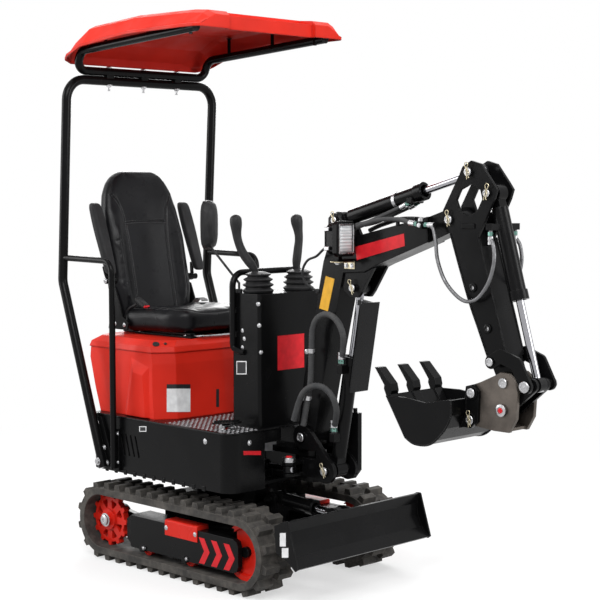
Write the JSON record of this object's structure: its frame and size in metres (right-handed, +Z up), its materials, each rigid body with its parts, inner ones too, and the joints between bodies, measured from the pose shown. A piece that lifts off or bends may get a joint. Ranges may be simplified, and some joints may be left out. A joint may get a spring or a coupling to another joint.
{
  "type": "mini excavator",
  "caption": "Small tracked digger with dozer blade, swing boom, quick hitch and toothed bucket, open operator seat with twin levers under a hoop canopy.",
  "frame": {"origin": "on the ground, on the slew axis, midway between the tracks", "axes": "+X forward towards the blade and bucket, +Y to the machine's left, +Z up"},
  "size_m": [2.361, 0.9048, 2.372],
  "materials": {
    "track_rubber": "matte",
    "hose_rubber": "matte",
    "red_paint": "gloss",
    "red_roof": "gloss",
    "vinyl": "satin",
    "lever_plastic": "satin",
    "chrome_rod": "polished",
    "cast_grey": "satin",
    "engine": "matte",
    "black_paint": "gloss"
  },
  "bodies": {
    "undercarriage": {"track_left": "track_rubber", "track_right": "track_rubber", "track_frame_left": "black_paint", "track_frame_right": "black_paint", "sprocket_left": "red_paint", "sprocket_right": "red_paint", "idler_left": "red_paint", "idler_right": "red_paint", "cover_left": "red_paint", "cover_right": "red_paint", "rollers_left": "red_paint", "rollers_right": "red_paint", "carbody": "black_paint"},
    "blade": {"blade": "black_paint"},
    "blade_barrel": {"blade_barrel": "black_paint"},
    "blade_rod": {"blade_rod": "chrome_rod"},
    "house": {"house_frame": "black_paint", "engine_block": "engine", "hood": "red_paint", "seat_cushion": "vinyl", "seat_back": "vinyl", "armrest_left": "vinyl", "armrest_right": "vinyl", "console": "black_paint", "lever_left": "lever_plastic", "lever_right": "lever_plastic", "front_handle": "black_paint", "rear_mirror": "lever_plastic", "hoop": "black_paint", "rail_left": "black_paint", "rail_right": "black_paint", "roof_frame": "black_paint", "roof": "red_roof", "swing_barrel": "black_paint"},
    "swing_post": {"swing_post": "black_paint"},
    "swing_rod": {"swing_rod": "chrome_rod"},
    "boom": {"boom": "black_paint", "work_lamp": "black_paint", "tip_hoses": "hose_rubber"},
    "boom_barrel": {"boom_barrel": "black_paint", "boom_hoses": "hose_rubber"},
    "boom_rod": {"boom_rod": "chrome_rod"},
    "arm": {"arm": "black_paint"},
    "arm_barrel": {"arm_barrel": "black_paint"},
    "arm_rod": {"arm_rod": "chrome_rod"},
    "bucket": {"hitch": "cast_grey", "bucket": "black_paint"},
    "bucket_barrel": {"bucket_barrel": "black_paint"},
    "bucket_rod": {"bucket_rod": "chrome_rod"},
    "guide_links": {"guide_link_left": "black_paint", "guide_link_right": "black_paint"},
    "connecting_link": {"connecting_link": "black_paint"}
  },
  "joints": [
    {"name": "blade_lift", "type": "hinge", "parent": "undercarriage", "child": "blade", "pos_m": [0.43, 0, 0.205], "axis": [0, -1, 0], "range_deg": [-45, 10]},
    {"name": "blade_barrel_turn", "type": "hinge", "parent": "undercarriage", "child": "blade_barrel", "pos_m": [0.255, 0, 0.318], "axis": [0, -1, 0], "range_deg": [-22.43, 5.63]},
    {"name": "blade_rod_slide", "type": "slide", "parent": "blade_barrel", "child": "blade_rod", "axis": [0.9986, 0, -0.0521], "range_m": [-0.0152, 0.0613]},
    {"name": "slew", "type": "hinge", "parent": "undercarriage", "child": "house", "pos_m": [0, 0, 0.406], "axis": [0, 0, 1], "continuous": true},
    {"name": "boom_swing", "type": "hinge", "parent": "house", "child": "swing_post", "pos_m": [0.48, 0, 0.49], "axis": [0, 0, 1], "range_deg": [-50, 50]},
    {"name": "swing_rod_slide", "type": "slide", "parent": "house", "child": "swing_rod", "axis": [1, 0, 0], "range_m": [-0.0944, 0.0944]},
    {"name": "boom_lift", "type": "hinge", "parent": "swing_post", "child": "boom", "pos_m": [0.48, 0, 0.613], "axis": [0, -1, 0], "range_deg": [-72, 13]},
    {"name": "boom_barrel_turn", "type": "hinge", "parent": "swing_post", "child": "boom_barrel", "pos_m": [0.612, 0, 0.487], "axis": [0, -1, 0], "range_deg": [-72.45, 14.69], "deforming": ["boom_hoses"]},
    {"name": "boom_rod_slide", "type": "slide", "parent": "boom_barrel", "child": "boom_rod", "axis": [0.1733, 0, 0.9849], "range_m": [-0.2123, 0.04]},
    {"name": "arm_turn", "type": "hinge", "parent": "boom", "child": "arm", "pos_m": [1.24, 0, 1.523], "axis": [0, 1, 0], "range_deg": [-70, 18], "deforming": ["tip_hoses"]},
    {"name": "arm_barrel_turn", "type": "hinge", "parent": "boom", "child": "arm_barrel", "pos_m": [0.64, 0, 1.512], "axis": [0, 1, 0], "range_deg": [-7.3, 2.23]},
    {"name": "arm_rod_slide", "type": "slide", "parent": "arm_barrel", "child": "arm_rod", "axis": [0.965, 0, 0.2622], "range_m": [-0.2176, 0.0574]},
    {"name": "bucket_turn", "type": "hinge", "parent": "arm", "child": "bucket", "pos_m": [1.503, 0, 0.93], "axis": [0, -1, 0], "range_deg": [-20, 120]},
    {"name": "guide_link_turn", "type": "hinge", "parent": "arm", "child": "guide_links", "pos_m": [1.457, 0, 1.005], "axis": [0, -1, 0], "range_deg": [-13.02, 68.81]},
    {"name": "connecting_link_turn", "type": "hinge", "parent": "guide_links", "child": "connecting_link", "pos_m": [1.613, 0, 0.927], "axis": [0, -1, 0], "range_deg": [-11.03, 2.29]},
    {"name": "bucket_barrel_turn", "type": "hinge", "parent": "arm", "child": "bucket_barrel", "pos_m": [1.418, 0, 1.622], "axis": [0, -1, 0], "range_deg": [-1.24, 5.37]},
    {"name": "bucket_rod_slide", "type": "slide", "parent": "bucket_barrel", "child": "bucket_rod", "axis": [0.2701, 0, -0.9628], "range_m": [-0.1879, 0.033]}
  ],
  "couplings": [
    {"joint": "blade_barrel_turn", "follows": "blade_lift", "ratio": 0.48001},
    {"joint": "blade_rod_slide", "follows": "blade_lift", "m_per_rad": -0.075561},
    {"joint": "swing_rod_slide", "follows": "boom_swing", "m_per_rad": 0.10593},
    {"joint": "boom_barrel_turn", "follows": "boom_lift", "ratio": 0.97895},
    {"joint": "boom_rod_slide", "follows": "boom_lift", "m_per_rad": 0.16738},
    {"joint": "arm_barrel_turn", "follows": "arm_turn", "ratio": 0.0976},
    {"joint": "arm_rod_slide", "follows": "arm_turn", "m_per_rad": 0.1765},
    {"joint": "guide_link_turn", "follows": "bucket_turn", "ratio": 0.5579},
    {"joint": "connecting_link_turn", "follows": "bucket_turn", "ratio": -0.0874},
    {"joint": "bucket_barrel_turn", "follows": "bucket_turn", "ratio": 0.0413},
    {"joint": "bucket_rod_slide", "follows": "bucket_turn", "m_per_rad": -0.08876}
  ]
}
